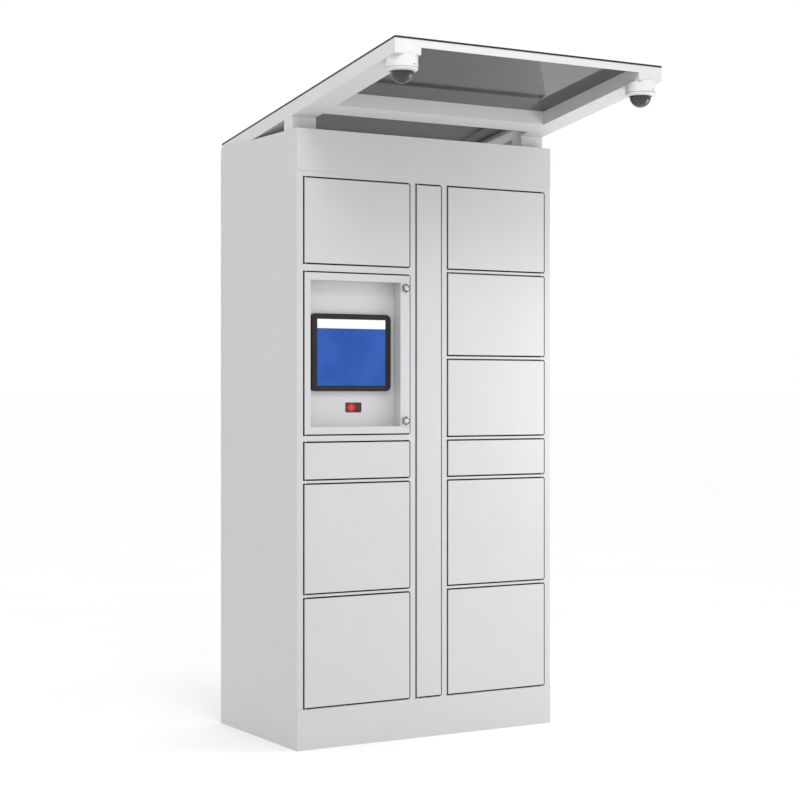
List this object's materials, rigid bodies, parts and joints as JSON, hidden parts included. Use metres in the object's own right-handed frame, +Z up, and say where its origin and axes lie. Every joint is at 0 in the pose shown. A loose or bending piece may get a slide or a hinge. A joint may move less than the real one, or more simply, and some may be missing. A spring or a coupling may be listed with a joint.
{
  "type": "parcel locker",
  "caption": "Free-standing parcel locker with two columns of doors, a touch terminal, a narrow service bay and a canopy roof with dome cameras.",
  "frame": {"origin": "centre of the anchor hole pattern in the base, on the floor", "axes": "+Z up, doors face -Y, +X to the right seen from the front"},
  "size_m": [1, 1.2095, 2.2084],
  "materials": {
    "panel_paint": "satin powder coat",
    "door_paint": "satin powder coat",
    "inner_steel": "matt powder coat",
    "canopy_paint": "satin powder coat",
    "roof_panel": "gloss coil coating",
    "bright_steel": "plated",
    "hinge_steel": "zinc plated",
    "bezel_plastic": "fine moulded texture",
    "screen_glass": "gloss",
    "scanner_red": "gloss",
    "module_plastic": "matt",
    "camera_white": "satin",
    "camera_black": "gloss",
    "dome_tint": "tinted gloss"
  },
  "bodies": {
    "cabinet": {"left_side_panel": "panel_paint", "right_side_panel": "panel_paint", "back_panel": "panel_paint", "base_tray": "inner_steel", "plinth": "panel_paint", "top_deck": "panel_paint", "door_frame": "panel_paint", "fascia": "panel_paint", "service_partitions": "inner_steel", "left_shelves": "inner_steel", "right_shelves": "inner_steel", "hinge_pins": "hinge_steel", "lock_bodies": "module_plastic", "controller_box": "module_plastic", "power_supply": "module_plastic", "cable_gland": "module_plastic", "roof_posts": "canopy_paint", "roof_side_rails": "canopy_paint", "roof_cross_members": "canopy_paint", "roof_front_beam": "canopy_paint", "roof_sheet": "roof_panel", "canopy_bolts": "hinge_steel", "camera_bodies": "camera_white", "camera_trim_rings": "camera_white", "camera_domes": "dome_tint"},
    "terminal_door": {"terminal_door": "door_paint", "display_housing": "bezel_plastic", "display_screen": "screen_glass", "scanner_module": "module_plastic", "scanner_window": "scanner_red", "lock_collars": "bright_steel"},
    "upper_cam_lock": {"upper_cam_lock": "bright_steel"},
    "lower_cam_lock": {"lower_cam_lock": "bright_steel"},
    "service_door": {"service_door": "door_paint"},
    "left_door_1": {"left_door_1": "door_paint"},
    "left_door_2": {"left_door_2": "door_paint"},
    "left_door_3": {"left_door_3": "door_paint"},
    "left_door_4": {"left_door_4": "door_paint"},
    "right_door_1": {"right_door_1": "door_paint"},
    "right_door_2": {"right_door_2": "door_paint"},
    "right_door_3": {"right_door_3": "door_paint"},
    "right_door_4": {"right_door_4": "door_paint"},
    "right_door_5": {"right_door_5": "door_paint"},
    "right_door_6": {"right_door_6": "door_paint"},
    "left_bolt_1": {"left_bolt_1": "hinge_steel"},
    "left_bolt_2": {"left_bolt_2": "hinge_steel"},
    "left_bolt_3": {"left_bolt_3": "hinge_steel"},
    "left_bolt_4": {"left_bolt_4": "hinge_steel"},
    "right_bolt_1": {"right_bolt_1": "hinge_steel"},
    "right_bolt_2": {"right_bolt_2": "hinge_steel"},
    "right_bolt_3": {"right_bolt_3": "hinge_steel"},
    "right_bolt_4": {"right_bolt_4": "hinge_steel"},
    "right_bolt_5": {"right_bolt_5": "hinge_steel"},
    "right_bolt_6": {"right_bolt_6": "hinge_steel"},
    "left_camera_yoke": {"left_camera_yoke": "camera_black"},
    "left_camera_eye": {"left_camera_eye": "camera_black"},
    "right_camera_yoke": {"right_camera_yoke": "camera_black"},
    "right_camera_eye": {"right_camera_eye": "camera_black"}
  },
  "joints": [
    {"name": "terminal_door_hinge", "type": "hinge", "parent": "cabinet", "child": "terminal_door", "pos_m": [-0.4655, -0.286, 1.28675], "axis": [0, 0, -1], "range_deg": [0, 100]},
    {"name": "service_door_hinge", "type": "hinge", "parent": "cabinet", "child": "service_door", "pos_m": [-0.0415, -0.286, 0.99675], "axis": [0, 0, -1], "range_deg": [0, 95]},
    {"name": "left_door_1_hinge", "type": "hinge", "parent": "cabinet", "child": "left_door_1", "pos_m": [-0.4655, -0.286, 0.313], "axis": [0, 0, -1], "range_deg": [0, 100]},
    {"name": "left_door_2_hinge", "type": "hinge", "parent": "cabinet", "child": "left_door_2", "pos_m": [-0.4655, -0.286, 0.6835], "axis": [0, 0, -1], "range_deg": [0, 100]},
    {"name": "left_door_3_hinge", "type": "hinge", "parent": "cabinet", "child": "left_door_3", "pos_m": [-0.4655, -0.286, 0.9365], "axis": [0, 0, -1], "range_deg": [0, 100]},
    {"name": "left_door_4_hinge", "type": "hinge", "parent": "cabinet", "child": "left_door_4", "pos_m": [-0.4655, -0.286, 1.719], "axis": [0, 0, -1], "range_deg": [0, 100]},
    {"name": "right_door_1_hinge", "type": "hinge", "parent": "cabinet", "child": "right_door_1", "pos_m": [0.4655, -0.286, 0.313], "axis": [0, 0, 1], "range_deg": [0, 100]},
    {"name": "right_door_2_hinge", "type": "hinge", "parent": "cabinet", "child": "right_door_2", "pos_m": [0.4655, -0.286, 0.6835], "axis": [0, 0, 1], "range_deg": [0, 100]},
    {"name": "right_door_3_hinge", "type": "hinge", "parent": "cabinet", "child": "right_door_3", "pos_m": [0.4655, -0.286, 0.9365], "axis": [0, 0, 1], "range_deg": [0, 100]},
    {"name": "right_door_4_hinge", "type": "hinge", "parent": "cabinet", "child": "right_door_4", "pos_m": [0.4655, -0.286, 1.1415], "axis": [0, 0, 1], "range_deg": [0, 100]},
    {"name": "right_door_5_hinge", "type": "hinge", "parent": "cabinet", "child": "right_door_5", "pos_m": [0.4655, -0.286, 1.4255], "axis": [0, 0, 1], "range_deg": [0, 100]},
    {"name": "right_door_6_hinge", "type": "hinge", "parent": "cabinet", "child": "right_door_6", "pos_m": [0.4655, -0.286, 1.719], "axis": [0, 0, 1], "range_deg": [0, 100]},
    {"name": "left_bolt_1_slide", "type": "slide", "parent": "cabinet", "child": "left_bolt_1", "axis": [-1, 0, 0], "range_m": [0, 0.01]},
    {"name": "left_bolt_2_slide", "type": "slide", "parent": "cabinet", "child": "left_bolt_2", "axis": [-1, 0, 0], "range_m": [0, 0.01]},
    {"name": "left_bolt_3_slide", "type": "slide", "parent": "cabinet", "child": "left_bolt_3", "axis": [-1, 0, 0], "range_m": [0, 0.01]},
    {"name": "left_bolt_4_slide", "type": "slide", "parent": "cabinet", "child": "left_bolt_4", "axis": [-1, 0, 0], "range_m": [0, 0.01]},
    {"name": "right_bolt_1_slide", "type": "slide", "parent": "cabinet", "child": "right_bolt_1", "axis": [1, 0, 0], "range_m": [0, 0.01]},
    {"name": "right_bolt_2_slide", "type": "slide", "parent": "cabinet", "child": "right_bolt_2", "axis": [1, 0, 0], "range_m": [0, 0.01]},
    {"name": "right_bolt_3_slide", "type": "slide", "parent": "cabinet", "child": "right_bolt_3", "axis": [1, 0, 0], "range_m": [0, 0.01]},
    {"name": "right_bolt_4_slide", "type": "slide", "parent": "cabinet", "child": "right_bolt_4", "axis": [1, 0, 0], "range_m": [0, 0.01]},
    {"name": "right_bolt_5_slide", "type": "slide", "parent": "cabinet", "child": "right_bolt_5", "axis": [1, 0, 0], "range_m": [0, 0.01]},
    {"name": "right_bolt_6_slide", "type": "slide", "parent": "cabinet", "child": "right_bolt_6", "axis": [1, 0, 0], "range_m": [0, 0.01]},
    {"name": "upper_cam_lock_turn", "type": "hinge", "parent": "terminal_door", "child": "upper_cam_lock", "pos_m": [-0.095, -0.294, 1.5085], "axis": [0, 1, 0], "range_deg": [0, 90]},
    {"name": "lower_cam_lock_turn", "type": "hinge", "parent": "terminal_door", "child": "lower_cam_lock", "pos_m": [-0.095, -0.294, 1.065], "axis": [0, 1, 0], "range_deg": [0, 90]},
    {"name": "left_camera_pan", "type": "hinge", "parent": "cabinet", "child": "left_camera_yoke", "pos_m": [-0.4455, -0.87, 2.10687], "axis": [0, 0, 1], "range_deg": [-170, 170]},
    {"name": "left_camera_tilt", "type": "hinge", "parent": "left_camera_yoke", "child": "left_camera_eye", "pos_m": [-0.4455, -0.87, 2.10687], "axis": [1, 0, 0], "range_deg": [-30, 40]},
    {"name": "right_camera_pan", "type": "hinge", "parent": "cabinet", "child": "right_camera_yoke", "pos_m": [0.4455, -0.87, 2.10687], "axis": [0, 0, 1], "range_deg": [-170, 170]},
    {"name": "right_camera_tilt", "type": "hinge", "parent": "right_camera_yoke", "child": "right_camera_eye", "pos_m": [0.4455, -0.87, 2.10687], "axis": [1, 0, 0], "range_deg": [-30, 40]}
  ]
}
